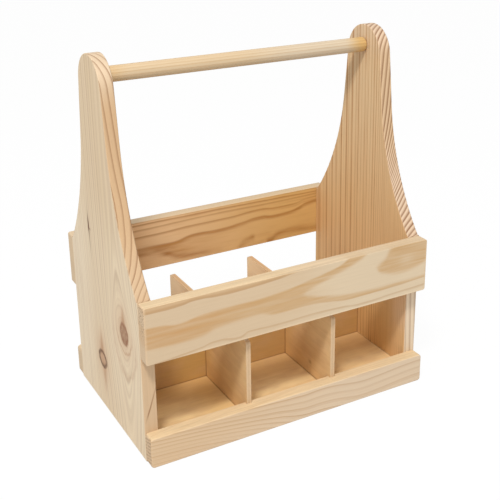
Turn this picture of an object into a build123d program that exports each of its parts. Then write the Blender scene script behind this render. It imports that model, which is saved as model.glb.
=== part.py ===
from build123d import *
from math import cos, radians, sin
import os

# Wooden bottle caddy with six cells, a shaped panel at each end and a round handle.
# Millimetres. The origin is on the standing surface under the middle of the caddy,
# +X runs along the handle, -Y is the front and +Z is up.

# Overall box
caddy_length = 280.0
cell_box_depth = 162.0
cut_overrun = 5.0

# End panels
panel_thickness = 12.0
panel_height = 333.5
panel_ease = 0.8
lobe_radius = 26.0
taper_angle = 6.5
taper_length = 48.0
shoulder_ledge = 2.0

# Upper rails
rail_thickness = 12.0
upper_rail_bottom = 97.0
upper_rail_height = 51.0
upper_rail_corner_radius = 2.0
upper_rail_ease = 0.6

# Lower rails
lower_rail_height = 28.0
lower_rail_corner_radius = 3.0
lower_rail_ease = 1.2
inner_arris_ease = 0.5

# Floor, held in stopped grooves of the lower rails
floor_thickness = 4.5
floor_underside = 9.5
groove_depth = 3.5

# Dividers, halved over each other and housed in the front lower rail. Their tops lie
# a small drop below the upper rails.
divider_thickness = 4.5
divider_drop = 8.0
divider_corner_radius = 3.0
dado_depth = 3.5
divider_back_gap = 4.5

# Handle, rounded down at each end to a tenon that is glued into a blind hole of the end
# panel. Its axis lies a drop below the panels' tops.
handle_diameter = 13.5
handle_drop = 18.5
shoulder_radius = 2.4
shoulder_flat = 0.35
tenon_hole_depth = 8.0
tenon_end_chamfer = 0.8

# Clearance on each side of a piece that sits in a groove, dado, slot or hole
fit_clearance = 0.1

# Places that follow from the sizes
half_length = caddy_length / 2
half_depth = cell_box_depth / 2
inner_half_length = half_length - panel_thickness
inner_length = 2 * inner_half_length
outer_half_depth = half_depth + rail_thickness
upper_rail_top = upper_rail_bottom + upper_rail_height
handle_height = panel_height - handle_drop
tenon_diameter = handle_diameter - 2 * (shoulder_radius + shoulder_flat)
floor_top = floor_underside + floor_thickness
divider_height = upper_rail_bottom - divider_drop - floor_top
lap_height = floor_top + divider_height / 2
cell_length = (inner_length - 2 * divider_thickness) / 3
cross_divider_place = (cell_length + divider_thickness) / 2
slot_width = divider_thickness + 2 * fit_clearance

os.makedirs("parts", exist_ok=True)


def finish(piece, name):
    """Label a finished piece and write it to its own file."""
    piece.label = name
    export_step(piece, f"parts/{name}.step")


def half_outline():
    """Draw the right half of an end panel's outline, from the foot to the top.

    A straight taper runs down from the round lobe, tangent to it, and a hollow
    flare, tangent to the taper, runs out to the narrow ledge at the rail's top.
    """
    lobe_centre = panel_height - lobe_radius
    along = Vector(sin(radians(taper_angle)), -cos(radians(taper_angle)))
    across = Vector(cos(radians(taper_angle)), sin(radians(taper_angle)))
    lobe_end = Vector(0, lobe_centre) + across * lobe_radius
    flare_foot = Vector(half_depth - shoulder_ledge, upper_rail_top)
    flare_start = lobe_end + along * taper_length
    Polyline((0, 0), (half_depth, 0), (half_depth, upper_rail_top), flare_foot)
    TangentArc(flare_start, flare_foot, tangent=along)
    Line(flare_start, lobe_end)
    CenterArc((0, lobe_centre), lobe_radius, taper_angle, 90 - taper_angle)


def end_panel(name, side):
    """Make one end panel, where side is -1 at the left and 1 at the right."""
    first_face = min(side * half_length, side * inner_half_length)
    with BuildPart() as panel:
        with BuildSketch(Plane.YZ.offset(first_face)):
            with BuildLine():
                half_outline()
                mirror(about=Plane.YZ)
            make_face()
        extrude(amount=panel_thickness)
        fillet(panel.faces().filter_by(Axis.X).edges(), radius=panel_ease)
        with BuildSketch(Plane.YZ.offset(side * inner_half_length)):
            with Locations((0, handle_height)):
                Circle(tenon_diameter / 2 + fit_clearance)
        extrude(amount=side * tenon_hole_depth, mode=Mode.SUBTRACT)
    finish(panel.part, name)


def rail(name, side, bottom, height, corner_radius, ease, holds_floor):
    """Make one rail, where side is -1 at the front and 1 at the back.

    A rail that holds the floor has a stopped groove in its inner face, and the
    front one has a dado above the groove for each cross divider.
    """
    with BuildPart() as board:
        with BuildSketch(Plane.XZ.offset(-side * half_depth)):
            with Locations((0, bottom + height / 2)):
                RectangleRounded(caddy_length, height, corner_radius)
        extrude(amount=-side * rail_thickness)
        inner_face, outer_face = board.faces().filter_by(Axis.Y).sort_by(Axis.Y)[::side]
        fillet(outer_face.edges(), radius=ease)
        fillet(inner_face.edges(), radius=inner_arris_ease)
        if holds_floor:
            with BuildSketch(Plane.XZ.offset(-side * half_depth)):
                with Locations((0, floor_underside)):
                    Rectangle(
                        inner_length, floor_thickness + fit_clearance, align=(Align.CENTER, Align.MIN)
                    )
            extrude(amount=-side * groove_depth, mode=Mode.SUBTRACT)
        if holds_floor and side < 0:
            with BuildSketch(Plane.XY.offset(floor_top)):
                with Locations(
                    (-cross_divider_place, -half_depth), (cross_divider_place, -half_depth)
                ):
                    Rectangle(slot_width, dado_depth, align=(Align.CENTER, Align.MAX))
            extrude(amount=height - floor_top + cut_overrun, mode=Mode.SUBTRACT)
    finish(board.part, name)


def cross_divider(name, side):
    """Make one divider from front to back, slotted from below over the long one."""
    front_end = -(half_depth + dado_depth - fit_clearance)
    back_end = half_depth - divider_back_gap
    with BuildPart() as divider:
        with BuildSketch(Plane.YZ.offset(side * cross_divider_place)):
            with Locations(((front_end + back_end) / 2, floor_top)):
                Rectangle(back_end - front_end, divider_height, align=(Align.CENTER, Align.MIN))
        extrude(amount=divider_thickness / 2, both=True)
        top_corners = divider.edges().filter_by(Axis.X).group_by(Axis.Z)[-1]
        fillet(top_corners, radius=divider_corner_radius)
        with BuildSketch(Plane.XY.offset(lap_height)):
            with Locations((side * cross_divider_place, 0)):
                Rectangle(divider_thickness + 2 * cut_overrun, slot_width)
        extrude(amount=-(divider_height / 2 + cut_overrun), mode=Mode.SUBTRACT)
    finish(divider.part, name)


end_panel("left_end_panel", -1)
end_panel("right_end_panel", 1)

for place, side in (("front", -1), ("back", 1)):
    rail(
        f"{place}_upper_rail", side, upper_rail_bottom, upper_rail_height,
        upper_rail_corner_radius, upper_rail_ease, holds_floor=False,
    )
    rail(
        f"{place}_lower_rail", side, 0, lower_rail_height,
        lower_rail_corner_radius, lower_rail_ease, holds_floor=True,
    )

# The handle's shoulders meet the end panels, and its tenons stop short of the hole bottoms.
with BuildPart() as handle:
    with BuildSketch(Plane.YZ):
        with Locations((0, handle_height)):
            Circle(handle_diameter / 2)
    extrude(amount=inner_half_length, both=True)
    fillet(handle.edges().filter_by(GeomType.CIRCLE), radius=shoulder_radius)
    with BuildSketch(Plane.YZ):
        with Locations((0, handle_height)):
            Circle(tenon_diameter / 2)
    extrude(amount=inner_half_length + tenon_hole_depth - fit_clearance, both=True)
    rims = handle.edges().filter_by(GeomType.CIRCLE).group_by(Axis.X)
    chamfer(rims[0] + rims[-1], length=tenon_end_chamfer)
finish(handle.part, "handle")

# The floor reaches into both grooves and lies between the end panels.
with BuildPart() as floor_panel:
    with BuildSketch(Plane.XY.offset(floor_underside)):
        Rectangle(
            inner_length - 2 * fit_clearance, 2 * (half_depth + groove_depth - fit_clearance)
        )
    extrude(amount=floor_thickness)
finish(floor_panel.part, "floor_panel")

# The long divider stands on the floor and is slotted from above at both crossings.
with BuildPart() as long_divider:
    with BuildSketch(Plane.XZ):
        with Locations((0, floor_top)):
            Rectangle(
                inner_length - 2 * fit_clearance, divider_height, align=(Align.CENTER, Align.MIN)
            )
    extrude(amount=divider_thickness / 2, both=True)
    with BuildSketch(Plane.XY.offset(lap_height)):
        with Locations((-cross_divider_place, 0), (cross_divider_place, 0)):
            Rectangle(slot_width, divider_thickness + 2 * cut_overrun)
    extrude(amount=divider_height / 2 + cut_overrun, mode=Mode.SUBTRACT)
finish(long_divider.part, "long_divider")

cross_divider("left_cross_divider", -1)
cross_divider("right_cross_divider", 1)
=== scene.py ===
"""Dress a packed wooden bottle caddy in sanded pine and thin plywood, and stage it."""

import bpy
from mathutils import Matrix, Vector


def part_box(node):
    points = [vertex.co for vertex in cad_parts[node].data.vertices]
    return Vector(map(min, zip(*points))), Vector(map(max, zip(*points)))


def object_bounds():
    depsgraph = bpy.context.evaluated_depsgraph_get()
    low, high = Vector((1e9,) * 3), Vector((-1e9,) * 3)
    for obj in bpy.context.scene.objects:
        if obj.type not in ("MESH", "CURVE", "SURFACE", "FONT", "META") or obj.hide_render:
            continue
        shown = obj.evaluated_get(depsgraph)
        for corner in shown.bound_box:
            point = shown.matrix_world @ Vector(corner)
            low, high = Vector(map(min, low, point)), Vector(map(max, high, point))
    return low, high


bl_info = {
    "name": "Wooden Bottle Caddy",
    "version": (1, 0, 0),
    "blender": (4, 5, 0),
    "location": "3D View > Sidebar > Caddy",
    "description": "Finishes the boards of a wooden bottle caddy and stages it",
    "category": "Object",
}

from math import radians

import bpy
from bpy.props import FloatProperty, FloatVectorProperty, PointerProperty
from mathutils import Matrix, Vector

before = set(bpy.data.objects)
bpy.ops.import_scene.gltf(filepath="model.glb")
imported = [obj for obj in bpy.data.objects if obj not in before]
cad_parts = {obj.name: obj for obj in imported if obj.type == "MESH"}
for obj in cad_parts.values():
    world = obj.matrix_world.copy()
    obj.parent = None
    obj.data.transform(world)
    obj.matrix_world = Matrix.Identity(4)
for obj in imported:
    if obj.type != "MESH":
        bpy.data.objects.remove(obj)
CAD_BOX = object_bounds()

MM = 0.001
PER_MM = 1000.0
IMAGE_SIDE = 500.0
SENSOR_WIDTH = 36.0

# Which coordinate is which on a board, as indexes into x, y and z
X, Y, Z = 0, 1, 2

# Faces that the grain is drawn from, in millimetres from the caddy's middle
HALF_LENGTH = 140.0
PANEL_INNER_FACE = 128.0
RAIL_OUTER_FACE = 93.0
RAIL_INNER_FACE = 81.0

# How the wood takes the light, and how deep its relief is, in metres
WOOD_IOR = 1.45
WOOD_SPECULAR = 0.3
PINE_ROUGHNESS = 0.62
PLY_ROUGHNESS = 0.55
PINE_RELIEF = 0.05 * MM
PLY_RELIEF = 0.03 * MM

# Number of the ring at which the lines drawn from a guide start
FIRST_RING = 20.0

WHITE = (1.0, 1.0, 1.0, 1.0)
FLOOR_GREY = (0.75, 0.75, 0.75, 1.0)


def tint(red, green, blue):
    """Turn a colour as it looks on screen, in 0 to 255, into a linear one."""
    linear = []
    for level in (red, green, blue):
        share = level / 255
        linear.append(share / 12.92 if share <= 0.04045 else ((share + 0.055) / 1.055) ** 2.4)
    return (*linear, 1.0)


# Node wrapper


class Wire:
    """One output socket, with the arithmetic that the finishes are written in."""

    def __init__(self, finish, socket):
        self.finish = finish
        self.socket = socket

    def is_vector(self):
        return self.socket.type in {"VECTOR", "RGBA"}

    def combine(self, operation, first, second):
        """Add the Math or Vector Math node that joins two values."""
        wires = [value for value in (first, second) if isinstance(value, Wire)]
        if not any(wire.is_vector() for wire in wires):
            return self.finish.node(
                "ShaderNodeMath", {"operation": operation}, {0: first, 1: second}
            )
        sides = [
            (value,) * 3 if isinstance(value, (int, float)) else value for value in (first, second)
        ]
        return self.finish.node(
            "ShaderNodeVectorMath", {"operation": operation}, {0: sides[0], 1: sides[1]}
        )

    def __add__(self, other):
        return self.combine("ADD", self, other)

    def __radd__(self, other):
        return self.combine("ADD", other, self)

    def __sub__(self, other):
        return self.combine("SUBTRACT", self, other)

    def __rsub__(self, other):
        return self.combine("SUBTRACT", other, self)

    def __mul__(self, other):
        return self.combine("MULTIPLY", self, other)

    def __truediv__(self, other):
        return self.combine("DIVIDE", self, other)

    def __pow__(self, other):
        return self.combine("POWER", self, other)

    def __neg__(self):
        return self.combine("MULTIPLY", self, -1.0)

    def math(self, operation, other=0.0):
        """Apply a Math node's other operations, such as FLOOR or ABSOLUTE."""
        return self.combine(operation, self, other)


class Finish:
    """The node tree of a new material or world, built from Wire expressions."""

    def __init__(self, name, world=False):
        library = bpy.data.worlds if world else bpy.data.materials
        self.owner = library.new(name)
        self.owner.use_nodes = True
        self.tree = self.owner.node_tree
        self.tree.nodes.clear()

    def node(self, kind, settings=None, inputs=None, output=0):
        """Add a node, give it its settings and then its sockets' values or links."""
        node = self.tree.nodes.new(kind)
        for name, value in (settings or {}).items():
            if name == "stops":
                set_stops(node.color_ramp, value)
            elif name == "curve":
                set_curve(node.mapping, value)
            else:
                setattr(node, name, value)
        for key, value in (inputs or {}).items():
            if isinstance(value, Wire):
                self.tree.links.new(value.socket, node.inputs[key])
            else:
                node.inputs[key].default_value = value
        return Wire(self, node.outputs[output]) if node.outputs else None

    def spot(self):
        """Give the place on the caddy in millimetres."""
        place = self.node("ShaderNodeTexCoord", output="Object")
        return place * PER_MM

    def parts(self, vector):
        """Split a vector into its three numbers."""
        split = self.node("ShaderNodeSeparateXYZ", inputs={0: vector})
        return [Wire(self, socket) for socket in split.socket.node.outputs]

    def noise(self, place, detail, roughness):
        """Give smooth noise around zero, whose lumps are about one unit across."""
        fac = self.node(
            "ShaderNodeTexNoise",
            {"noise_dimensions": "3D"},
            {"Vector": place, "Scale": 1.0, "Detail": detail, "Roughness": roughness},
        )
        return fac - 0.5

    def chance(self, number):
        """Give a random number from 0 to 1 for each whole number."""
        return self.node(
            "ShaderNodeTexWhiteNoise", {"noise_dimensions": "1D"}, {"W": number}, output="Value"
        )

    def smooth(self, value, low, high):
        """Rise smoothly from 0 at low to 1 at high, or fall where high is below low."""
        return self.node(
            "ShaderNodeMapRange",
            {"interpolation_type": "SMOOTHSTEP"},
            {"Value": value, "From Min": low, "From Max": high},
        )

    def ramp(self, value, stops):
        """Read a grey ramp at a value from 0 to 1."""
        colour = self.node("ShaderNodeValToRGB", {"stops": stops}, {0: value})
        return self.node("ShaderNodeRGBToBW", inputs={0: colour})

    def line(self, value, points, low, high):
        """Follow a smooth line through points, whose heights run from low to high."""
        start, end = points[0][0], points[-1][0]
        share = self.node(
            "ShaderNodeMapRange", inputs={"Value": value, "From Min": start, "From Max": end}
        )
        shares = [((at - start) / (end - start), (to - low) / (high - low)) for at, to in points]
        height = self.node("ShaderNodeFloatCurve", {"curve": shares}, {"Value": share})
        return height * (high - low) + low

    def blend(self, share, first, second):
        """Mix two colours."""
        return self.node(
            "ShaderNodeMix",
            {"data_type": "RGBA", "blend_type": "MIX", "clamp_factor": True},
            {0: share, 6: first, 7: second},
            output=2,
        )

    def bell(self, *reaches):
        """Give 1 where all the reaches are 0, falling away smoothly to 0 past 1 to 2."""
        total = None
        for reach in reaches:
            square = reach * reach
            total = square if total is None else total + square
        return (-total).math("EXPONENT")

    def close(self, colour, roughness, height, relief):
        """Link the surface to the output. A height of 1 stands out by the relief."""
        bump = self.node(
            "ShaderNodeBump", inputs={"Strength": 1.0, "Distance": relief, "Height": height},
        )
        shader = self.node(
            "ShaderNodeBsdfPrincipled",
            inputs={
                "Base Color": colour,
                "Roughness": roughness,
                "Normal": bump,
                "IOR": WOOD_IOR,
                "Specular IOR Level": WOOD_SPECULAR,
            },
        )
        self.node("ShaderNodeOutputMaterial", inputs={"Surface": shader})
        return self.owner


def set_stops(ramp, stops):
    """Fill a colour ramp, which starts with two stops, with grey levels."""
    ramp.interpolation = "EASE"
    while len(ramp.elements) < len(stops):
        ramp.elements.new(1.0)
    for element, (place, level) in zip(ramp.elements, stops):
        element.position = place
        element.color = (level, level, level, 1.0)


def set_curve(mapping, shares):
    """Fill a float curve, which starts with a point at each end."""
    points = mapping.curves[0].points
    while len(points) < len(shares):
        points.new(0.5, 0.5)
    for point, (across, up) in zip(points, sorted(shares)):
        point.location = (across, up)
        point.handle_type = "AUTO"
    mapping.update()


# Pine


class Board:
    """One board, its fibres along one axis. Lengths are in millimetres."""

    def __init__(self, finish, along, seed, stretch=9.0):
        self.finish = finish
        self.along = along
        self.seed = seed
        self.stretch = stretch
        self.spot = finish.spot()
        self.places = finish.parts(self.spot)
        self.length = self.places[along]
        normal = finish.node("ShaderNodeNewGeometry", output="Normal")
        self.facing = [side.math("ABSOLUTE") for side in finish.parts(normal)]

    def noise(self, width, detail=2.0, roughness=0.5, shift=0.0, stretch=None):
        """Give noise with lumps a width across, drawn out along the fibres.

        Another shift gives another noise.
        """
        shrink = [1.0 / width] * 3
        shrink[self.along] /= stretch or self.stretch
        moved = self.spot * Vector(shrink) + Vector((self.seed + shift, shift, -self.seed))
        return self.finish.noise(moved, detail, roughness)

    def distance(self, pith, sway):
        """Give the distance from the pith, which wanders a little along the board."""
        sides = [place for axis, place in enumerate(self.places) if axis != self.along]
        across = sides[0] - pith[0] + self.noise(38.0, detail=1.0) * (2.0 * sway)
        through = sides[1] - pith[1] + self.noise(90.0, detail=1.0, shift=31.0) * (4.0 * sway)
        return (across * across + through * through) ** 0.5

    def ring_lines(self, rings, start=0.45, end=0.95, uneven=0.55):
        """Turn ring numbers into latewood, dark just before each ring ends."""
        finish = self.finish
        number = rings.math("FLOOR")
        share = rings - number
        middle = (start + end) / 2
        stops = [(0.0, 0.25), (0.07, 0.0), (start, 0.06), (middle, 0.45), (end, 1.0), (1.0, 0.5)]
        weight = finish.chance(number + self.seed) * uneven + (1.0 - uneven)
        return finish.ramp(share, stops) * weight

    def above(self, height, points):
        """Give how far a height lies above a line drawn along the board."""
        low = min(to for _, to in points) - 1.0
        high = max(to for _, to in points) + 1.0
        return height - self.finish.line(self.length, points, low, high)


def grain_line(finish, above, fade, edge=0.6):
    """Darken slowly from below up to a line, and end sharply above it."""
    return finish.smooth(above, -fade, 0.0) * finish.smooth(above, edge, -0.2 * edge)


def pine_surface(board, colour, lines, late, shades=(), end_shade=None, fibre=0.05):
    """Colour a board from its base colour, its latewood and its shades.

    A shade is a share and a colour, and the end shade shows on the board's ends only.
    """
    finish = board.finish
    end_share = finish.smooth(board.facing[board.along], 0.55, 0.95)
    colour = finish.blend(lines, colour, late)
    for share, shade in shades:
        colour = finish.blend(share, colour, shade)
    if end_shade:
        marks, shade = end_shade
        colour = finish.blend(marks * end_share, colour, shade)
    streaks = board.noise(0.9, detail=3.0, roughness=0.6, shift=5.0, stretch=60.0)
    hairs = board.noise(0.45, detail=1.0, shift=13.0, stretch=40.0)
    pores = board.noise(0.5, detail=1.0, shift=9.0, stretch=1.0)
    colour = colour * (1.0 + streaks * (fibre * 2.0) + hairs * fibre)
    colour = colour * (1.0 - end_share * (0.08 - pores * 0.25))
    roughness = PINE_ROUGHNESS - lines * 0.06
    height = lines * 0.35 + streaks * 0.5
    return finish.close(colour, roughness, height, PINE_RELIEF)


def facing_up(board):
    """Give the share of a board's flat top, as far as its eased edges."""
    return board.finish.smooth(board.facing[Z], 0.5, 0.9)


def line_top(board, colour, width, strength):
    """Draw fine lines along a board's flat top."""
    flat_lines = board.noise(width, shift=45.0, stretch=30.0)
    return colour * (1.0 + flat_lines * facing_up(board) * strength)


def sawn_edge(board):
    """Give the share of an end panel's sawn edges, all round its two flat faces."""
    return 1.0 - board.finish.smooth(board.facing[X], 0.7, 0.97)


# Boards


def left_end_panel_pine(wood):
    """A pale flat-sawn board with two knots and a dark resin streak."""
    finish = Finish("left_end_panel_pine")
    board = Board(finish, Z, 3.0)
    x, y, z = board.places
    edge = sawn_edge(board)

    wide_knot = knot_glow(board, (-45.0, 104.0), (50.0, 45.0)) * 1.2
    near_knot = knot_glow(board, (-45.0, 104.0), (40.0, 22.0)) * 1.5
    small_knot = knot_glow(board, (15.7, 50.7), (13.0, 26.0)) * 1.1
    heart = finish.line(
        z,
        [(0.0, -48.0), (60.0, -47.0), (110.0, -41.0), (160.0, -35.0), (335.0, -31.0)],
        -60.0,
        -20.0,
    )
    lift = finish.line(
        z,
        [(0.0, 1.1), (20.0, 0.8), (60.0, 0.25), (100.0, 0.0), (200.0, 0.05), (330.0, 0.1)],
        0.0,
        1.2,
    )
    rings = board.distance((-173.0, heart), 0.8) / 4.0 + lift - wide_knot - near_knot - small_knot
    rings = rings + board.noise(30.0, shift=17.0) * 0.4
    calm = 1.0 - knot_glow(board, (-43.8, 104.0), (34.0, 50.0)) * 0.4
    face_lines = board.ring_lines(rings, start=0.5, end=0.9, uneven=0.7) * calm * 0.32
    fine_lines = board.ring_lines(rings * 2.7 + 0.3, start=0.3, end=0.8, uneven=0.9) * 0.24

    across = finish.line(
        y,
        [(-81.0, 5.2), (-74.5, 3.9), (-70.3, 2.9), (-65.5, 1.9), (-58.3, 0.9), (-46.5, -0.15),
         (-41.5, -0.25), (-37.0, -0.1), (-32.5, 0.15), (-28.8, 0.47), (-26.3, 0.74), (-22.5, 1.08),
         (-17.0, 1.54), (-5.0, 2.5), (20.0, 4.6), (50.0, 7.5), (81.0, 11.0)],
        -1.0,
        12.0,
    )
    foot = finish.smooth(z, 140.0, 96.0)
    edge_rings = across + (x + HALF_LENGTH) * 0.183 + board.noise(9.0, shift=7.0) * 0.15
    edge_rings = edge_rings + FIRST_RING
    edge_lines = board.ring_lines(edge_rings, start=0.62, end=0.96, uneven=0.4) * 0.85
    past_face = x + PANEL_INNER_FACE + (69.0 - z) * 0.333
    slant = finish.bell((past_face + board.noise(6.0, shift=11.0)) / 0.6)
    slant = slant * finish.smooth(z, 34.0, 48.0) * finish.smooth(z, 74.0, 66.0)
    slant = slant * (finish.bell((z - 48.0) / 13.0) * 0.55 + 0.3)
    edge_lines = edge_lines * (1.0 - foot * 0.9) + slant * foot

    paleness = finish.line(
        y,
        [(-81.0, 0.72), (-60.0, 0.72), (-20.0, 0.6), (10.0, 0.5), (40.0, 0.75), (62.0, 1.0),
         (81.0, 1.0)],
        0.0,
        1.2,
    )
    paleness = paleness - finish.smooth(z, 150.0, 230.0) * 0.25 + board.noise(34.0, shift=3.0) * 0.5
    face = finish.blend(paleness, wood.warm_wood, wood.pale_wood)
    face = finish.blend(finish.smooth(z, 60.0, 10.0) * 0.1, face, wood.lower_top_wood)
    rosy = finish.smooth(board.noise(5.0, shift=67.0, stretch=14.0), -0.1, 0.25) * 0.45
    face = finish.blend(rosy, face, wood.blush_wood)
    pale_ends = finish.smooth(z, 288.0, 328.0) * 0.85 + finish.smooth(z, 200.0, 150.0) * 0.3
    rim = finish.blend(pale_ends, wood.edge_wood, wood.crown_wood)
    colour = finish.blend(edge, face, rim)
    late = finish.blend(edge, wood.latewood, wood.edge_line)
    lines = (face_lines + fine_lines) * (1.0 - edge) + edge_lines * edge
    below = finish.smooth(z, 118.0, 92.0)
    shades = [
        (knot_glow(board, (-44.5, 106.0), (16.0, 22.0)) * 0.7, wood.knot_glow),
        (knot_glow(board, (15.4, 54.0), (15.0, 22.0)) * 0.75, wood.knot_glow),
        (knot_loop(board, (-45.0, 106.0), (17.0, 20.0)) * below * 0.5, wood.knot_line),
        (knot_loop(board, (-45.0, 106.0), (27.0, 42.0)) * below * 0.25, wood.knot_line),
        (knot_spike(board, (-45.0, 113.0), 22.0) * 0.7, wood.knot_line),
        (knot_spike(board, (15.8, 59.0), 28.0) * 0.7, wood.knot_line),
        (knot_spike(board, (12.6, 44.0), -36.0) * 0.6, wood.knot_line),
        (knot_heart(board, (-45.6, 104.2), (8.8, 9.2)), wood.knot_brown),
        (knot_core(board, (15.4, 51.0), (9.0, 7.4)) * 0.55, wood.knot_line),
        (knot_bark(board, (15.4, 51.0), (9.0, 7.4)), wood.bark),
        (resin_streak(board), wood.resin),
    ]
    return pine_surface(board, colour, lines, late, shades, fibre=0.07)


def knot_glow(board, centre, reach):
    """Give 1 at a knot's centre, fading out past its reach across and up the panel."""
    _, y, z = board.places
    return board.finish.bell((y - centre[0]) / reach[0], (z - centre[1]) / reach[1])


def knot_away(board, centre, reach):
    """Give the distance from a knot's centre, 1 at its border."""
    _, y, z = board.places
    side, rise = (y - centre[0]) / reach[0], (z - centre[1]) / reach[1]
    return (side * side + rise * rise) ** 0.5 + board.noise(5.0, shift=23.0, stretch=1.5) * 0.35


def knot_loop(board, centre, reach):
    """Draw a darker ring line round a knot."""
    return board.finish.bell((knot_away(board, centre, reach) - 1.0) / 0.08)


def knot_spike(board, foot, length):
    """Draw the dark point that runs along the fibres from a knot."""
    finish = board.finish
    _, y, z = board.places
    rise = (z - foot[1]) / length
    width = 5.0 - rise * 3.6
    ends = finish.smooth(rise, 1.1, 0.1) * finish.smooth(rise, -0.25, 0.05)
    return finish.bell((y - foot[0]) / width) * ends


def knot_heart(board, centre, reach):
    """Mark a knot that is brown all over, with darker spots and a dark border."""
    finish = board.finish
    away = knot_away(board, centre, reach)
    spots = board.noise(3.2, shift=27.0, stretch=1.0)
    border = finish.bell((away - 0.95) / 0.2) * 0.14
    pale = finish.bell(away / 0.45) * 0.14
    return finish.smooth(away, 1.3, 0.95) * (0.74 + spots * 0.9 + border - pale)


def knot_core(board, centre, reach):
    """Fill a knot inside its bark."""
    return board.finish.smooth(knot_away(board, centre, reach), 1.2, 0.9)


def knot_bark(board, centre, reach):
    """Mark a knot by the broken dark ring of bark round its pale wood."""
    finish = board.finish
    away = knot_away(board, centre, reach)
    gaps = finish.smooth(board.noise(4.0, shift=29.0, stretch=1.0), -0.3, 0.15)
    ring = finish.smooth(away, 1.36, 1.08) * finish.smooth(away, 0.56, 0.94)
    return ring * (gaps * 0.45 + 0.5)


def resin_streak(board):
    """Mark the short dark resin streak above the knots."""
    finish = board.finish
    _, y, z = board.places
    across = y - 28.5 - (z - 178.0) * 0.06
    core = finish.bell(across / 1.5, (z - 178.0) / 7.0) * 0.9
    tail = finish.bell(across / 1.4, (z - 172.0) / 22.0) * 0.5
    nick = finish.bell((y - 26.5) / 3.0, (z - 174.5) / 1.0) * 0.45
    return core + tail + nick


def right_end_panel_pine(wood):
    """A warmer board cut nearer the quarter, with close straight grain."""
    finish = Finish("right_end_panel_pine")
    board = Board(finish, Z, 11.0, stretch=16.0)
    x, y, z = board.places
    edge = sawn_edge(board)
    lean = (x - PANEL_INNER_FACE) * (y * 0.0043 + 0.72)
    place = y - lean - (z - 175.0) * 0.013 + board.noise(26.0, detail=1.0) * 2.2
    rings = finish.line(
        place,
        [(-90.0, 44.7), (-75.0, 39.4), (-60.0, 33.7), (-40.0, 20.4), (-30.0, 16.6), (-17.5, 13.2),
         (3.0, 9.2), (13.2, 7.2), (21.8, 6.2), (40.0, 4.2), (54.0, 2.5), (82.0, 0.6)],
        0.2,
        46.2,
    )
    face_lines = board.ring_lines(rings, start=0.68, end=0.9, uneven=0.6)
    strength = finish.smooth(y, -62.0, -22.0) * 0.5 - finish.smooth(y, 16.0, 46.0) * 0.3 + 0.4
    fade = finish.smooth(board.noise(7.0, shift=51.0, stretch=9.0), -0.35, 0.2) * 0.5 + 0.55
    fade = fade * (finish.smooth(z, 130.0, 210.0) * 0.3 + 1.0)
    face_lines = face_lines * strength * fade
    fine_lines = board.ring_lines(rings * 2.3 + 0.4, start=0.4, end=0.8, uneven=0.9) * fade * 0.42
    foot = finish.smooth(z, 140.0, 92.0)
    edge_lines = board.ring_lines(rings, start=0.3, end=0.8, uneven=0.3) * (1.0 - foot)
    edge_lines = edge_lines + board.ring_lines(rings * 1.6, start=0.4, end=0.8) * foot * 0.45
    face = finish.blend(
        finish.smooth(z + board.noise(35.0, shift=3.0) * 90.0, 110.0, 280.0),
        wood.tan_wood,
        wood.warm_tan_wood,
    )
    # Painted shade: low down, away from the front edge, the face is a darker warm amber, as in
    # shade lit by warm bounced light.
    deep = finish.smooth(z, 90.0, 42.0) * finish.smooth(y, -66.0, -48.0)
    # Painted light: near the front edge, between the rails, the face is paler where more light
    # reaches it.
    lit_front = finish.smooth(y, -52.0, -72.0) * finish.smooth(z, 40.0, 66.0)
    lit_front = lit_front * finish.smooth(z, 150.0, 96.0)
    face = finish.blend(deep * 0.55, face, wood.amber_wood)
    face = finish.blend(lit_front * 0.5, face, wood.pink_wood)
    face = finish.blend(finish.smooth(z, 300.0, 324.0) * 0.6, face, wood.crown_wood)
    tan_share = finish.smooth(z, 190.0, 240.0) * finish.smooth(z, 330.0, 305.0)
    rim = finish.blend(tan_share * 0.7, wood.pink_wood, wood.tan_rim)
    rim = finish.blend(foot * 0.5, rim, wood.pale_wood)
    colour = finish.blend(edge, face, rim)
    late = finish.blend(edge, wood.tan_line, wood.edge_line)
    lines = (face_lines + fine_lines) * (1.0 - edge) + edge_lines * edge
    return pine_surface(board, colour, lines, late, fibre=0.1)


def front_rail_bands(board, z, fork_top, fork_foot, cloud):
    """Fill the broad band up to its fork, and the slanting patch between the fork's arms."""
    finish = board.finish
    x = board.length
    gap_top = board.above(
        z,
        [(-140, 124.5), (0, 124.8), (12, 128.4), (30, 133.8), (50, 139.5), (66, 145.0), (80, 152.0),
         (140, 159.0)],
    )
    gap_foot = board.above(
        z,
        [(-140, 125.5), (0, 125.2), (12, 122.4), (30, 117.8), (48, 114.6), (66, 112.6), (95, 111.8),
         (140, 113.0)],
    )
    patch_top = board.above(
        z, [(-140, 90), (70, 118.0), (83, 131.5), (92, 139.0), (104, 151.0), (140, 159.0)]
    )
    patch_foot = board.above(
        z,
        [(-140, 159.0), (70, 142.0), (83, 131.0), (92, 124.5), (110, 121.2), (126, 122.6),
         (140, 128.0)],
    )
    foot_blur = finish.smooth(x, 20.0, -100.0) * 2.2 + 1.6
    fork = finish.smooth(fork_top, 1.1, -2.2) * finish.smooth(fork_foot / foot_blur, -1.0, 1.0)
    gap = finish.smooth(gap_top, 1.8, -3.6) * finish.smooth(gap_foot, -3.0, 1.8)
    patch = finish.smooth(patch_top, 4.5, -5.0) * finish.smooth(patch_foot, -2.4, 3.4)
    patch = patch * (1.0 - finish.bell((x - 117.0) / 9.0, (z - 133.0) / 5.0) * 0.45)
    rim = grain_line(finish, fork_top, 3.5) + grain_line(finish, -fork_foot, 2.0) * 0.5
    return (fork * (1.0 - gap) * 0.76 + patch * 0.72) * (1.0 + cloud * 1.7) + rim * fork * 0.25


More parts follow.
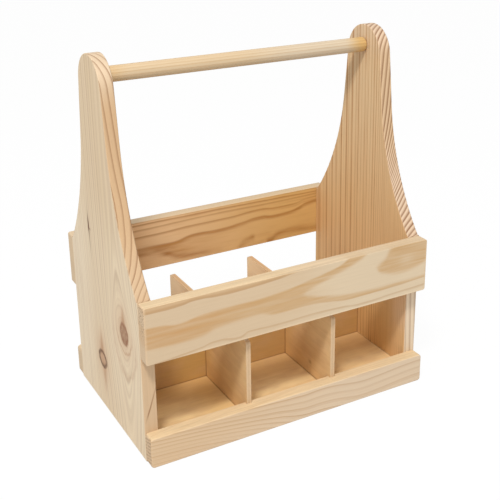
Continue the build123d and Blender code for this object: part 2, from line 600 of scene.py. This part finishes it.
def front_upper_rail_pine(wood):
    """A flat-sawn board with broad soft bands, one of which forks."""
    finish = Finish("front_upper_rail_pine")
    board = Board(finish, X, 21.0)
    x = board.length
    depth = board.places[Y] + RAIL_OUTER_FACE
    ragged = board.noise(2.2, detail=3.0, shift=41.0, stretch=12.0)
    z = board.places[Z] + board.noise(6.0, shift=3.0) * 1.2 + ragged * 1.6 - depth * 0.3

    fork_top = board.above(
        z,
        [(-140, 130.8), (-124, 130.0), (-110, 127.8), (-92, 130.6), (-60, 131.6), (-40, 131.5),
         (-10, 133.3), (10, 137.0), (30, 140.3), (42, 143.2), (55, 149.0), (75, 159.0),
         (140, 159.0)],
    )
    fork_foot = board.above(
        z,
        [(-140, 112.0), (-110, 111.0), (-90, 112.0), (-76, 115.6), (-40, 117.3), (-20, 113.5),
         (12, 113.6), (35, 111.2), (60, 108.6), (90, 109.0), (140, 110.8)],
    )
    crown = board.above(
        z,
        [(-140, 142.8), (-108, 143.2), (-95, 144.8), (-75, 143.8), (-40, 144.0), (0, 147.0),
         (140, 158)],
    )
    sill = board.above(
        z,
        [(-140, 97.0), (-90, 101.0), (-76, 103.2), (-56, 101.0), (-46, 103.9), (-15, 103.4),
         (15, 104.0), (50, 102.6), (70, 101.0), (100, 102.2), (140, 103.4)],
    )
    cloud = board.noise(3.0, detail=3.0, shift=19.0, stretch=22.0)
    wide_cloud = board.noise(11.0, detail=1.0, shift=37.0, stretch=5.0)
    bands = front_rail_bands(board, z, fork_top, fork_foot, cloud)
    crown_line = grain_line(finish, -crown, 3.6, 0.8) * finish.smooth(x, 10.0, -20.0)
    lines = crown_line * 0.75 + grain_line(finish, sill, 2.6, 0.8) * 0.5
    lines = lines + grain_line(finish, -fork_foot, 1.5) * finish.smooth(x, 0.0, 45.0) * 0.3
    face = finish.blend(
        finish.smooth(x + wide_cloud * 60.0, -20.0, 60.0), wood.rose_wood, wood.straw_wood
    )
    band = finish.blend(
        finish.smooth(x + wide_cloud * 90.0, -20.0, -120.0), wood.band_wood, wood.rust_wood
    )
    above_crown = finish.smooth(crown, -0.5, 1.5) * finish.smooth(x, 12.0, -12.0)
    colour = finish.blend(bands + cloud * 0.22 + above_crown * 0.5, face, band)
    # Painted highlight: the eased lower edge, away from the left end, is lightened as if lit by
    # light bounced up from below.
    colour = colour * (1.0 + finish.smooth(z, 99.5, 97.5) * finish.smooth(x, -125.0, -85.0) * 0.13)
    left, right = finish.smooth(x, -20.0, -140.0), finish.smooth(x, 96.0, 138.0)
    colour = colour * (1.0 - left * 0.03 + right * 0.025)
    # Painted light: the flat top is given its own colour, a lit copy of the face, for the light
    # that falls on it from above.
    top = finish.blend(finish.smooth(x, -20.0, 20.0), wood.pale_top_wood, wood.top_wood)
    colour = finish.blend(facing_up(board) * 0.85, colour, top)
    colour = line_top(board, colour, 2.2, 0.5)
    end = finish.smooth(x.math("ABSOLUTE"), 137.5, 139.6)
    colour = finish.blend(end * 0.65, colour, wood.sand_wood)
    lines = lines * (1.0 - end * 0.7) * (1.0 - facing_up(board) * 0.75)
    marks = finish.smooth(board.noise(1.4, shift=61.0, stretch=1.0), 0.02, 0.2)
    marks = marks * finish.smooth(z, 112.0, 130.0)
    end_shade = (marks, wood.end_mark)
    return pine_surface(board, colour, lines * 0.7, wood.band_line, end_shade=end_shade)


def back_upper_rail_pine(wood):
    """A honey coloured flat-sawn board with fine lines above one bold line."""
    finish = Finish("back_upper_rail_pine")
    board = Board(finish, X, 33.0)
    x = board.length
    depth = RAIL_INNER_FACE - board.places[Y]
    ragged = board.noise(2.2, detail=3.0, shift=41.0, stretch=14.0)
    z = board.places[Z] + board.noise(6.0, shift=3.0) * 0.9 + ragged * 1.3 + depth * 0.3

    tops = board.above(z, [(-140, 145.0), (-60, 145.2), (20, 145.3), (90, 144.6), (140, 144.0)])
    rim = board.above(z, [(-140, 147.8), (-60, 148.4), (20, 148.8), (90, 148.6), (140, 148.2)])
    second = board.above(
        z, [(-140, 139.6), (-60, 140.0), (10, 141.4), (60, 141.0), (100, 141.0), (140, 142.0)]
    )
    third = board.above(
        z,
        [(-140, 132.6), (-45, 132.8), (-20, 133.9), (20, 134.0), (58, 136.0), (78, 134.4),
         (98, 134.4), (112, 137.0), (140, 138.6)],
    )
    bold = board.above(
        z,
        [(-140, 118.6), (-60, 120.2), (-40, 119.8), (-14, 123.8), (10, 123.0), (38, 125.0),
         (61, 127.4), (75, 125.8), (92, 126.4), (106, 129.0), (116, 132.4), (140, 135.0)],
    )
    hook = board.above(
        z,
        [(-140, 116.0), (-62, 114.5), (-46, 110.5), (-34, 105.5), (-20, 103.6), (4, 102.4),
         (24, 99.0), (140, 90.0)],
    )
    low = board.above(
        z,
        [(-140, 90.0), (28, 98.5), (36, 103.0), (46, 107.0), (54, 108.5), (60, 104.0), (68, 100.5),
         (78, 104.6), (90, 106.8), (108, 106.4), (140, 103.4)],
    )
    lines = grain_line(finish, tops, 2.4, 0.9) * 0.8 + grain_line(finish, second, 2.6, 0.9) * 0.6
    lines = lines + grain_line(finish, rim, 2.4, 0.9) * 0.7
    third_strength = 0.75 - finish.smooth(x, 90.0, 115.0) * 0.35
    lines = lines + grain_line(finish, third, 3.2, 1.0) * third_strength
    far_left = finish.smooth(x, -30.0, -75.0)
    bold_line = grain_line(finish, bold, 5.0, 1.7) * (1.0 - far_left * 0.5)
    lines = lines + bold_line * (0.9 + ragged * 1.1)
    close = grain_line(finish, third + 2.6, 2.0) + grain_line(finish, second + 2.8, 2.0)
    lines = lines + close * finish.smooth(x, 60.0, 115.0) * 0.35
    ember = finish.smooth(bold, 0.5, -1.5) * finish.smooth(hook, -3.0, 7.0)
    ember = ember * finish.smooth(x, 30.0, -45.0)
    broad = finish.bell((bold + 5.5) / 5.0) * finish.smooth(x, -14.0, -58.0)
    curl = finish.bell((hook + 1.0) / 3.6) * finish.smooth(x, 22.0, -30.0)
    curl = curl * finish.smooth(x, -66.0, -44.0)
    blot = finish.bell((low + 2.0) / 3.4) * finish.smooth(x, 30.0, 40.0)
    blot = blot * (1.0 - finish.smooth((x - 60.0).math("ABSOLUTE"), 10.0, 5.0))
    colour = finish.blend(finish.smooth(x, -80.0, 110.0), wood.honey_wood, wood.amber_wood)
    # Painted light: the left part is lightened against the shade that the left end panel casts on
    # it.
    colour = colour * (1.0 + far_left * 0.11)
    end = finish.smooth(x.math("ABSOLUTE"), 131.0, 138.0)
    cloud = board.noise(5.0, detail=3.0, shift=19.0, stretch=8.0)
    shades = [
        (finish.smooth(cloud, -0.05, 0.35) * 0.25, wood.ember_wood),
        (ember * (0.7 + cloud * 1.6), wood.ember_wood),
        (broad * (0.42 + cloud * 1.4), wood.honey_line),
        (curl * (0.55 + cloud * 1.4), wood.honey_line),
        (blot * (0.5 + cloud * 1.2), wood.honey_line),
        # The grey is the end grain's own colour on the ends; on the flat top it is painted light
        # from above.
        ((end + facing_up(board)) * 0.85, wood.grey_wood),
    ]
    lines = lines * (1.0 - end) * (0.75 - facing_up(board) * 0.6)
    return pine_surface(board, colour, lines, wood.honey_line, shades)


def lower_rail_pine(name, seed, wood):
    """A board with close even lines that sink and spread out along its length."""
    finish = Finish(name)
    board = Board(finish, X, seed, stretch=14.0)
    x, y, height = board.places
    depth = y.math("ABSOLUTE") - RAIL_OUTER_FACE
    z = height + board.noise(6.0, shift=3.0) * 0.9 + depth * 0.45
    guide = finish.line(
        x,
        [(-140, 33.4), (-100, 29.4), (-60, 25.0), (-20, 21.2), (0, 18.8), (10, 17.9), (26, 18.2),
         (42, 17.0), (56, 14.7), (72, 12.8), (88, 13.3), (120, 15.5), (140, 16.0)],
        0.0,
        40.0,
    )
    pitch = finish.line(
        x, [(-140, 3.6), (-60, 3.9), (-20, 5.2), (10, 6.8), (60, 7.4), (140, 7.2)], 0.0, 10.0
    )
    number = (z - guide) / pitch + FIRST_RING
    lines = board.ring_lines(number, start=0.5, end=0.95, uneven=0.5)
    lines = lines + board.ring_lines(number * 2.7 + 0.4, start=0.3, end=0.8, uneven=0.9) * 0.55
    colour = finish.blend(
        finish.smooth(board.noise(20.0, shift=3.0) * 120.0 + x, -140.0, 60.0),
        wood.sand_wood,
        wood.cream_wood,
    )
    # Painted light: the flat top is given its own paler colour for the light that falls on it from
    # above.
    colour = finish.blend(facing_up(board), colour, wood.lower_top_wood)
    rough = board.noise(2.4, shift=43.0, stretch=1.0)
    slope = (y + RAIL_OUTER_FACE) * 0.8
    dash_number = (z + slope + rough * 1.5) / 3.2 + FIRST_RING
    dashes = board.ring_lines(dash_number, start=0.3, end=0.7, uneven=0.5)
    front_end = finish.smooth(y, 0.0, -20.0)
    marks = dashes * finish.smooth(rough, -0.16, 0.1) * front_end * 0.85
    end = finish.smooth(x.math("ABSOLUTE"), 136.0, 139.5)
    back_end = end * finish.smooth(y, -20.0, 20.0)
    colour = finish.blend(back_end * 0.85, colour, wood.grey_wood)
    colour = line_top(board, colour, 1.3, 0.4)
    strength = 0.37 - finish.smooth(x, -30.0, 70.0) * 0.1 - facing_up(board) * 0.25
    lines = lines * strength * (1.0 - back_end * 0.85)
    end_shade = (marks, wood.end_mark)
    return pine_surface(board, colour, lines, wood.band_line, end_shade=end_shade)


def handle_pine(wood):
    """A turned dowel with soft grain along it."""
    finish = Finish("handle_pine")
    board = Board(finish, X, 47.0, stretch=20.0)
    rings = board.distance((-18.0, 300.0), 0.6) / 2.6 + board.noise(30.0, shift=17.0) * 0.8
    lines = board.ring_lines(rings)
    place = board.length + board.noise(9.0) * 24.0
    stain = finish.smooth(place, 104.0, 124.0) + finish.smooth(place, -106.0, -124.0) * 0.35
    colour = finish.blend(
        finish.smooth(place, -10.0, 60.0), wood.handle_wood, wood.handle_pale_wood
    )
    colour = finish.blend(stain, colour, wood.handle_end_wood)
    return pine_surface(board, colour, lines * 0.5, wood.band_line, fibre=0.1)


# Plywood


def plywood(node, along, thick_axis, seed, faces, seams, knots, wood):
    """Thin three-layer plywood, with a darker core between pale faces at its edges.

    The faces are its colours near the rails and near the caddy's middle, or for the long
    divider at its left end and along the rest; on the floor and the cross dividers the middle
    colour is a painted shade. The seams, where other pieces meet it, are each an axis and a
    place along it, drawn as dark joint lines that are partly painted contact shade. The small
    knots are each a depth and a height.
    """
    finish = Finish(f"{node}_plywood")
    board = Board(finish, along, seed, stretch=7.0)
    x, y, z = board.places
    low, high = faces_of(node, thick_axis)
    half = (high - low) / 2
    depth = (board.places[thick_axis] - (low + high) / 2).math("ABSOLUTE")
    edge = 1.0 - finish.smooth(board.facing[thick_axis], 0.3, 0.8)
    core = finish.smooth(depth, half * 0.5, half * 0.15)
    figure = finish.smooth(board.noise(9.0, detail=3.0, shift=3.0), -0.2, 0.25)
    rosy = finish.smooth(board.noise(15.0, shift=33.0, stretch=1.6), -0.1, 0.22)
    side, centre = faces
    away = y.math("ABSOLUTE")
    if thick_axis == Y:
        inner = finish.smooth(x, -118.0, -80.0)
    else:
        # Painted shade: the floor and the cross dividers darken towards the long divider, the
        # dividers only low down.
        inner = finish.smooth(away, 46.0, 10.0) + finish.smooth(away, 48.0, 62.0) * 0.35
        inner = inner * finish.smooth(z, 70.0, 24.0)
    # The golden zone is a painted pool of light on the floor and the long divider at the left cell;
    # on the cross dividers it is a golden tone near the long divider.
    if thick_axis == X:
        gold_and_light_pool = finish.smooth(away, 22.0, 4.0)
    else:
        gold_and_light_pool = finish.bell((x + 57.0) / 18.0)
    base = finish.blend(inner, side, centre)
    base = finish.blend(figure * 0.36, base, wood.ply_figure)
    base = finish.blend(rosy * 0.4, base, wood.ply_rosy)
    base = finish.blend(gold_and_light_pool * 0.32, base, wood.ply_gold)
    for across, up in knots:
        reach = finish.bell((y - across) / 2.8, (z - up) / 2.2)
        ragged = board.noise(2.0, shift=25.0, stretch=1.0)
        base = finish.blend(reach * (0.5 + ragged), base, wood.ply_seam)
    # Painted light: the cross dividers' upper back corners are paler where the light falls into the
    # cells.
    lit_high_back = finish.smooth(y, 0.0, 60.0) * finish.smooth(z, 50.0, 86.0)
    base = finish.blend(lit_high_back * 0.8, base, wood.lit_corner_ply)
    base = finish.blend(edge, base, wood.ply_edge)
    base = finish.blend(edge * core * 0.15, base, wood.ply_core)
    # Painted shade: edges facing up are darkened against the light from above.
    base = finish.blend(edge * facing_up(board) * 0.2, base, wood.ply_figure)
    # Each seam is a dark joint line, partly the joint's own colour and partly painted contact
    # shade.
    for axis, at in seams:
        joint_and_shade = finish.bell((board.places[axis] - at) / 0.75) * (1.0 - edge) * 0.55
        base = finish.blend(joint_and_shade, base, wood.ply_seam)
    streaks = board.noise(0.8, detail=3.0, roughness=0.6, shift=5.0, stretch=40.0)
    flecks = board.noise(2.2, shift=15.0, stretch=9.0)
    colour = base * (1.0 + streaks * 0.16 + flecks * 0.12)
    return finish.close(colour, PLY_ROUGHNESS + streaks * 0.1, streaks, PLY_RELIEF)


def faces_of(node, axis):
    """Give the two ends of a node's box along an axis, in millimetres."""
    low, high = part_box(node)
    return low[axis] * PER_MM, high[axis] * PER_MM


def dress(node, material):
    """Give a CAD node's material slots one material."""
    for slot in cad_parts[node].material_slots:
        slot.material = material


# Settings


def colour_setting(name, description, red, green, blue):
    """Describe a wood colour that a user can change, from its levels on screen."""
    return FloatVectorProperty(
        name=name, description=description, subtype="COLOR", size=4, min=0.0, max=1.0,
        default=tint(red, green, blue),
    )


class CaddyWoodSettings(bpy.types.PropertyGroup):
    """Colours of the pine and the plywood"""

    pale_wood: colour_setting("Pale Wood", "Left end panel, palest part", 236, 219, 190)
    warm_wood: colour_setting("Warm Wood", "Left end panel, warmer part", 215, 190, 153)
    blush_wood: colour_setting("Blush Wood", "Left end panel's rosy streaks", 221, 197, 168)
    edge_wood: colour_setting("Edge Wood", "Left end panel's sawn edge", 203, 169, 130)
    crown_wood: colour_setting("Crown Wood", "Left end panel's edge, palest", 219, 196, 166)
    tan_wood: colour_setting("Tan Wood", "Right end panel, lower part", 226, 187, 136)
    warm_tan_wood: colour_setting("Light Tan Wood", "Right end panel, top", 219, 189, 147)
    tan_line: colour_setting("Tan Line", "Right end panel's grain lines", 166, 112, 60)
    tan_rim: colour_setting("Tan Rim", "Right end panel's edge, upper part", 214, 180, 138)
    pink_wood: colour_setting("Pink Wood", "Right end panel's sawn edge", 226, 198, 168)
    rose_wood: colour_setting("Rose Wood", "Front upper rail, left", 212, 187, 154)
    straw_wood: colour_setting("Straw Wood", "Front upper rail, right", 218, 197, 166)
    sand_wood: colour_setting("Sand Wood", "Lower rails, warmer part", 217, 188, 152)
    cream_wood: colour_setting("Cream Wood", "Lower rails, palest part", 221, 198, 169)
    rust_wood: colour_setting("Rust Wood", "The bands' left end", 199, 156, 106)
    band_wood: colour_setting("Band Wood", "Front upper rail's bands", 199, 161, 113)
    band_line: colour_setting("Band Line", "Fine lines in the pale rails", 172, 126, 74)
    # Painted light: the rails' flat tops get colours of their own for the light that falls on them
    # from above.
    pale_top_wood: colour_setting("Pale Top Wood", "Front upper rail's top, left", 217, 193, 156)
    top_wood: colour_setting("Top Wood", "Front upper rail's top, right", 210, 186, 153)
    lower_top_wood: colour_setting("Lower Top Wood", "Lower rails' flat tops", 223, 195, 154)
    end_mark: colour_setting("End Mark", "Dark dashes in the rails' ends", 128, 98, 70)
    honey_wood: colour_setting("Honey Wood", "Back upper rail, left part", 233, 197, 153)
    amber_wood: colour_setting("Amber Wood", "Back upper rail, right part", 222, 180, 115)
    ember_wood: colour_setting("Ember Wood", "Back upper rail's deep patch", 193, 141, 80)
    # On the flat top this grey is painted light from above; on the ends it is the end grain's own
    # colour.
    grey_wood: colour_setting("Grey Wood", "Back upper rail's ends and flat top", 213, 189, 156)
    honey_line: colour_setting("Honey Line", "Back upper rail's grain lines", 166, 106, 44)
    handle_wood: colour_setting("Handle Wood", "Round handle", 208, 184, 149)
    handle_pale_wood: colour_setting("Pale Handle Wood", "Round handle, right part", 208, 190, 163)
    handle_end_wood: colour_setting("Handle End Wood", "Round handle's ends", 207, 170, 111)
    latewood: colour_setting("Latewood", "Dark line of each ring", 142, 100, 68)
    edge_line: colour_setting("Edge Line", "Dark lines in the panels' sawn edges", 132, 86, 50)
    knot_glow: colour_setting("Knot Glow", "Warm wood round a knot", 206, 170, 135)
    knot_brown: colour_setting("Knot", "Brown knot", 142, 94, 60)
    bark: colour_setting("Bark", "Ring of bark round the pale knot", 104, 72, 42)
    knot_line: colour_setting("Knot Line", "Lines that run round the knots", 176, 130, 94)
    resin: colour_setting("Resin", "Resin streak", 96, 48, 6)
    # The floor's colour near the long divider and the cross dividers' colour low down near it are
    # painted shade.
    floor_ply: colour_setting("Floor Plywood", "Floor near the rails", 252, 222, 168)
    floor_shade_ply: colour_setting("Floor Centre", "Floor near the long divider", 214, 176, 120)
    divider_ply: colour_setting("Divider Plywood", "Veneer of the cross dividers", 230, 197, 148)
    divider_shade_ply: colour_setting("Divider Foot", "Cross dividers, low down", 226, 188, 132)
    long_ply: colour_setting("Long Divider Plywood", "Long divider", 197, 155, 95)
    long_end_ply: colour_setting("Long Divider End", "Long divider, left end", 222, 190, 150)
    # On the floor and the long divider this gold is a painted pool of light; on the cross dividers
    # it is a golden tone.
    ply_gold: colour_setting("Golden Plywood", "Golden zones of the veneer", 220, 178, 102)
    ply_rosy: colour_setting("Rosy Plywood", "Pink and brown zones of the veneer", 205, 164, 122)
    # Painted light: the paler colour of the cross dividers' upper back corners.
    lit_corner_ply: colour_setting("Pale Plywood", "Cross dividers' upper back corners", 252, 224, 182)
    ply_figure: colour_setting("Plywood Figure", "Darker figure in the veneer", 200, 156, 106)
    ply_edge: colour_setting("Plywood Edge", "Sawn edge of the veneers", 215, 184, 146)
    ply_seam: colour_setting("Plywood Seam", "Dark line where two pieces meet", 120, 72, 34)
    ply_core: colour_setting("Plywood Core", "Core between the veneers", 150, 112, 72)


class CaddyStageSettings(bpy.types.PropertyGroup):
    """Camera, lamp, world and floor"""

    camera_place: FloatVectorProperty(
        name="Camera Place", description="Where the camera stands", subtype="TRANSLATION",
        unit="LENGTH", default=(-0.3757, -0.7186, 0.4834),
    )
    camera_turn: FloatVectorProperty(
        name="Camera Turn", description="Yaw, pitch above the level and roll", subtype="EULER",
        unit="ROTATION", default=(radians(-30.22), radians(-19.63), radians(-0.086)),
    )
    focal_length: FloatProperty(
        name="Focal Length", description="Focal length on a 36 mm wide frame, in millimetres",
        default=67.72,
    )
    lens_centre: FloatVectorProperty(
        name="Lens Centre", description="Column and row of the lens axis in the picture", size=2,
        default=(285.35, 188.41),
    )
    world_light: FloatProperty(
        name="World Light", description="Strength of the even light all round", default=0.82,
    )
    key_place: FloatVectorProperty(
        name="Key Place", description="Where the lamp hangs", subtype="TRANSLATION",
        unit="LENGTH", default=(-0.62, -0.78, 1.52),
    )
    key_power: FloatProperty(
        name="Key Power", description="Power of the lamp above the front left", subtype="POWER",
        unit="POWER", default=19.0,
    )
    key_size: FloatProperty(
        name="Key Size", description="Side of the square lamp, which softens its shadows",
        unit="LENGTH", default=0.25,
    )
    floor_glow: FloatProperty(
        name="Floor Whiteness", description="Share of the floor that the camera sees plain white",
        subtype="FACTOR", min=0.0, max=1.0, default=0.95,
    )


# Stage


def seen_share(finish):
    """Give 1 for rays from the camera and from gloss or glass, and 0 for all others."""
    seen = finish.node("ShaderNodeLightPath", output="Is Camera Ray")
    for ray in ("Is Glossy Ray", "Is Transmission Ray"):
        seen = seen.math("MAXIMUM", finish.node("ShaderNodeLightPath", output=ray))
    return seen


def make_floor(settings):
    """Lay a wide white floor that keeps a soft shadow."""
    reach = 4.0
    signs = ((-1, -1), (1, -1), (1, 1), (-1, 1))
    corners = [(reach * x, reach * y, 0.0) for x, y in signs]
    mesh = bpy.data.meshes.new("studio_floor")
    mesh.from_pydata(corners, [], [(0, 1, 2, 3)])
    floor = bpy.data.objects.new("studio_floor", mesh)
    bpy.context.collection.objects.link(floor)
    finish = Finish("studio_white")
    matte = finish.node("ShaderNodeBsdfDiffuse", inputs={"Color": FLOOR_GREY})
    white = finish.node("ShaderNodeBsdfDiffuse", inputs={"Color": WHITE})
    glow = finish.node("ShaderNodeEmission", inputs={"Strength": 1.0})
    shown = finish.node(
        "ShaderNodeMixShader", inputs={0: settings.floor_glow, 1: white, 2: glow}
    )
    seen = seen_share(finish)
    surface = finish.node("ShaderNodeMixShader", inputs={0: seen, 1: matte, 2: shown})
    finish.node("ShaderNodeOutputMaterial", inputs={"Surface": surface})
    mesh.materials.append(finish.owner)


def make_world(settings):
    """Light the room evenly and show it white to the camera."""
    sky = Finish("studio_world", world=True)
    light = sky.node("ShaderNodeBackground", inputs={"Strength": settings.world_light})
    white = sky.node("ShaderNodeBackground", inputs={"Color": WHITE})
    shown = sky.node("ShaderNodeMixShader", inputs={0: seen_share(sky), 1: light, 2: white})
    sky.node("ShaderNodeOutputWorld", inputs={"Surface": shown})
    bpy.context.scene.world = sky.owner


def make_lamp(settings):
    """Hang a square soft lamp that faces the middle of the caddy."""
    lamp = bpy.data.lights.new("key_lamp", "AREA")
    lamp.shape = "SQUARE"
    lamp.size = settings.key_size
    lamp.energy = settings.key_power
    holder = bpy.data.objects.new("key_lamp", lamp)
    holder.location = settings.key_place
    middle = Vector((0.0, 0.0, CAD_BOX[1][Z] / 2))
    view = middle - Vector(settings.key_place)
    holder.rotation_euler = view.to_track_quat("-Z", "Y").to_euler()
    bpy.context.collection.objects.link(holder)


def make_camera(settings):
    """Set the camera where the photograph was taken from."""
    camera = bpy.data.cameras.new("studio_camera")
    camera.sensor_width = SENSOR_WIDTH
    camera.lens = settings.focal_length
    column, row = settings.lens_centre
    camera.shift_x = (IMAGE_SIDE / 2 - column) / IMAGE_SIDE
    camera.shift_y = (row - IMAGE_SIDE / 2) / IMAGE_SIDE
    holder = bpy.data.objects.new("studio_camera", camera)
    yaw, pitch, roll = settings.camera_turn
    turn = (
        Matrix.Rotation(yaw, 4, "Z")
        @ Matrix.Rotation(radians(90.0) + pitch, 4, "X")
        @ Matrix.Rotation(roll, 4, "Z")
    )
    holder.matrix_world = Matrix.Translation(settings.camera_place) @ turn
    bpy.context.collection.objects.link(holder)
    bpy.context.scene.camera = holder


# Operators


class CADDY_OT_finish_end_panels(bpy.types.Operator):
    """Give both end panels their pine, each cut from a log of its own"""

    bl_idname = "caddy.finish_end_panels"
    bl_label = "Finish End Panels"

    def execute(self, context):
        wood = context.scene.caddy_wood
        dress("left_end_panel", left_end_panel_pine(wood))
        dress("right_end_panel", right_end_panel_pine(wood))
        return {"FINISHED"}


class CADDY_OT_finish_upper_rails(bpy.types.Operator):
    """Give the two upper rails their broad banded pine"""

    bl_idname = "caddy.finish_upper_rails"
    bl_label = "Finish Upper Rails"

    def execute(self, context):
        wood = context.scene.caddy_wood
        dress("front_upper_rail", front_upper_rail_pine(wood))
        dress("back_upper_rail", back_upper_rail_pine(wood))
        return {"FINISHED"}


class CADDY_OT_finish_lower_rails(bpy.types.Operator):
    """Give the two lower rails their even grained pine"""

    bl_idname = "caddy.finish_lower_rails"
    bl_label = "Finish Lower Rails"

    def execute(self, context):
        wood = context.scene.caddy_wood
        dress("front_lower_rail", lower_rail_pine("front_lower_rail_pine", 57.0, wood))
        dress("back_lower_rail", lower_rail_pine("back_lower_rail_pine", 63.0, wood))
        return {"FINISHED"}


class CADDY_OT_finish_handle(bpy.types.Operator):
    """Give the round handle its smooth pine"""

    bl_idname = "caddy.finish_handle"
    bl_label = "Finish Handle"

    def execute(self, context):
        dress("handle", handle_pine(context.scene.caddy_wood))
        return {"FINISHED"}


class CADDY_OT_finish_plywood(bpy.types.Operator):
    """Give the floor and the dividers their thin plywood"""

    bl_idname = "caddy.finish_plywood"
    bl_label = "Finish Plywood"

    def execute(self, context):
        wood = context.scene.caddy_wood
        floor = (wood.floor_ply, wood.floor_shade_ply)
        long = (wood.long_end_ply, wood.long_ply)
        cross = (wood.divider_ply, wood.divider_shade_ply)
        crossings = [
            (X, at) for side in ("left", "right") for at in faces_of(f"{side}_cross_divider", X)
        ]
        middle_faces = [(Y, at) for at in faces_of("long_divider", Y)]
        floor_top = (Z, faces_of("floor_panel", Z)[1])
        walls = [(X, at) for at in faces_of("floor_panel", X)]
        cross_seams = [floor_top, *middle_faces]
        knot = (-49.0, 27.0)
        sheets = (
            ("floor_panel", X, Z, 71.0, floor, [*crossings, *middle_faces, *walls], []),
            ("long_divider", X, Y, 75.0, long, [floor_top, *crossings, *walls], []),
            ("left_cross_divider", Y, X, 79.0, cross, cross_seams, []),
            ("right_cross_divider", Y, X, 83.0, cross, cross_seams, [knot]),
        )
        for node, *traits in sheets:
            dress(node, plywood(node, *traits, wood))
        return {"FINISHED"}


class CADDY_OT_set_stage(bpy.types.Operator):
    """Set the floor, the world, the lamp and the camera"""

    bl_idname = "caddy.set_stage"
    bl_label = "Set Stage"

    def execute(self, context):
        settings = context.scene.caddy_stage
        context.scene.view_settings.view_transform = "Standard"
        make_floor(settings)
        make_world(settings)
        make_lamp(settings)
        make_camera(settings)
        return {"FINISHED"}


class VIEW3D_PT_bottle_caddy(bpy.types.Panel):
    """The caddy's steps and settings in the sidebar"""

    bl_idname = "VIEW3D_PT_bottle_caddy"
    bl_label = "Bottle Caddy"
    bl_space_type = "VIEW_3D"
    bl_region_type = "UI"
    bl_category = "Caddy"

    def draw(self, context):
        layout = self.layout
        for settings in (context.scene.caddy_wood, context.scene.caddy_stage):
            for name in settings.__annotations__:
                layout.prop(settings, name)
        for operator in OPERATORS:
            layout.operator(operator.bl_idname)


OPERATORS = (
    CADDY_OT_finish_end_panels,
    CADDY_OT_finish_upper_rails,
    CADDY_OT_finish_lower_rails,
    CADDY_OT_finish_handle,
    CADDY_OT_finish_plywood,
    CADDY_OT_set_stage,
)
CLASSES = (CaddyWoodSettings, CaddyStageSettings, *OPERATORS, VIEW3D_PT_bottle_caddy)


def register():
    for cls in CLASSES:
        bpy.utils.register_class(cls)
    bpy.types.Scene.caddy_wood = PointerProperty(type=CaddyWoodSettings)
    bpy.types.Scene.caddy_stage = PointerProperty(type=CaddyStageSettings)


def unregister():
    del bpy.types.Scene.caddy_stage
    del bpy.types.Scene.caddy_wood
    for cls in reversed(CLASSES):
        bpy.utils.unregister_class(cls)


def main():
    """Dress and stage the caddy."""
    register()
    bpy.ops.caddy.finish_end_panels()
    bpy.ops.caddy.finish_upper_rails()
    bpy.ops.caddy.finish_lower_rails()
    bpy.ops.caddy.finish_handle()
    bpy.ops.caddy.finish_plywood()
    bpy.ops.caddy.set_stage()


if __name__ == "__main__":
    main()
